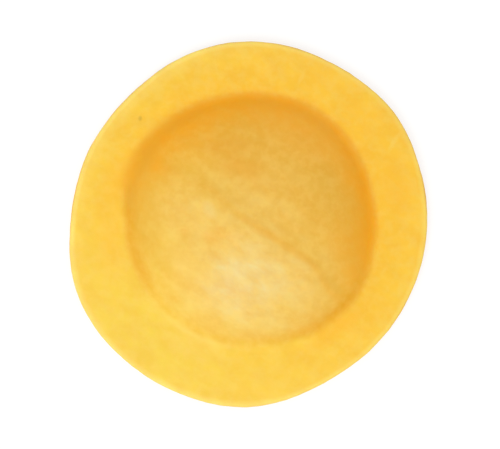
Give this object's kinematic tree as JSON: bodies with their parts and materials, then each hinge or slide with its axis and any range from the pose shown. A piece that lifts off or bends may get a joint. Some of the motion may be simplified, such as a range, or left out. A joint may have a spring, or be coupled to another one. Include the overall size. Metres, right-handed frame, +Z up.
{
  "type": "round filled pasta",
  "caption": "Round filled pasta parcel: two thin rounds of egg dough sealed at a wide flat rim around a low dome of soft filling.",
  "frame": {"origin": "middle of the flat underside, on the surface that the pasta lies on", "axes": "+Z up, out through the dome; +X to the right and +Y away as the round is seen from above"},
  "size_m": [0.0629, 0.0644, 0.0079],
  "materials": {
    "egg_dough": "soft satin, fresh rolled egg dough",
    "cheese_filling": "moist, finely grained"
  },
  "bodies": {
    "root": {"top_sheet": "egg_dough", "bottom_sheet": "egg_dough", "filling": "cheese_filling"}
  },
  "joints": []
}
